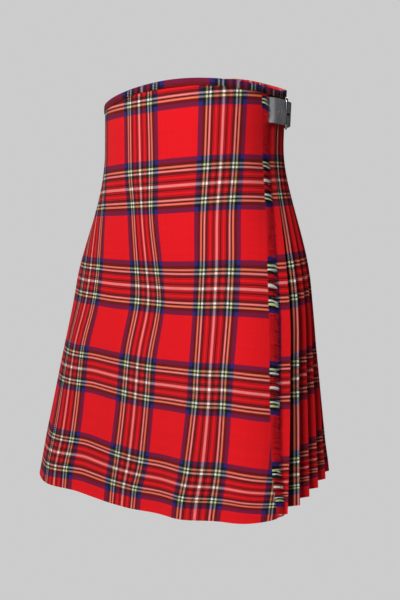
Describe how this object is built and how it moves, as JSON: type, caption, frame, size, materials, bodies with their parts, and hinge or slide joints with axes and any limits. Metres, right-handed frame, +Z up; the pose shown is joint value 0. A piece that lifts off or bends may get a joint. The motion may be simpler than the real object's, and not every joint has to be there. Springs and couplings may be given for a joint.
{
  "type": "scottish kilt",
  "caption": "Knee-length pleated wool kilt in worn shape, with a fringed front panel, a tartan waistband and a leather strap and buckle at each hip, open at waist and hem.",
  "frame": {"origin": "inside the waist opening at the height of the straps, where the wearer holds it up", "axes": "+Z up, -Y towards the wearer's front, +X towards the wearer's left"},
  "size_m": [0.4754, 0.2921, 0.6657],
  "materials": {
    "over_apron": "woven wool, red tartan",
    "under_apron": "woven wool, red tartan",
    "pleats_left": "woven wool, red tartan",
    "pleats_right": "woven wool, red tartan",
    "waistband": "woven wool, red tartan",
    "fringe": "loose wool threads",
    "leather": "smooth black",
    "buckle": "polished"
  },
  "bodies": {
    "root": {"over_apron": "over_apron", "under_apron": "under_apron", "pleats_left": "pleats_left", "pleats_right": "pleats_right", "waistband": "waistband", "fringe": "fringe", "over_apron_strap": "leather", "over_apron_chape": "leather", "over_apron_buckle": "buckle", "over_apron_tongue": "buckle", "under_apron_strap": "leather", "under_apron_chape": "leather", "under_apron_buckle": "buckle", "under_apron_tongue": "buckle"}
  },
  "joints": []
}
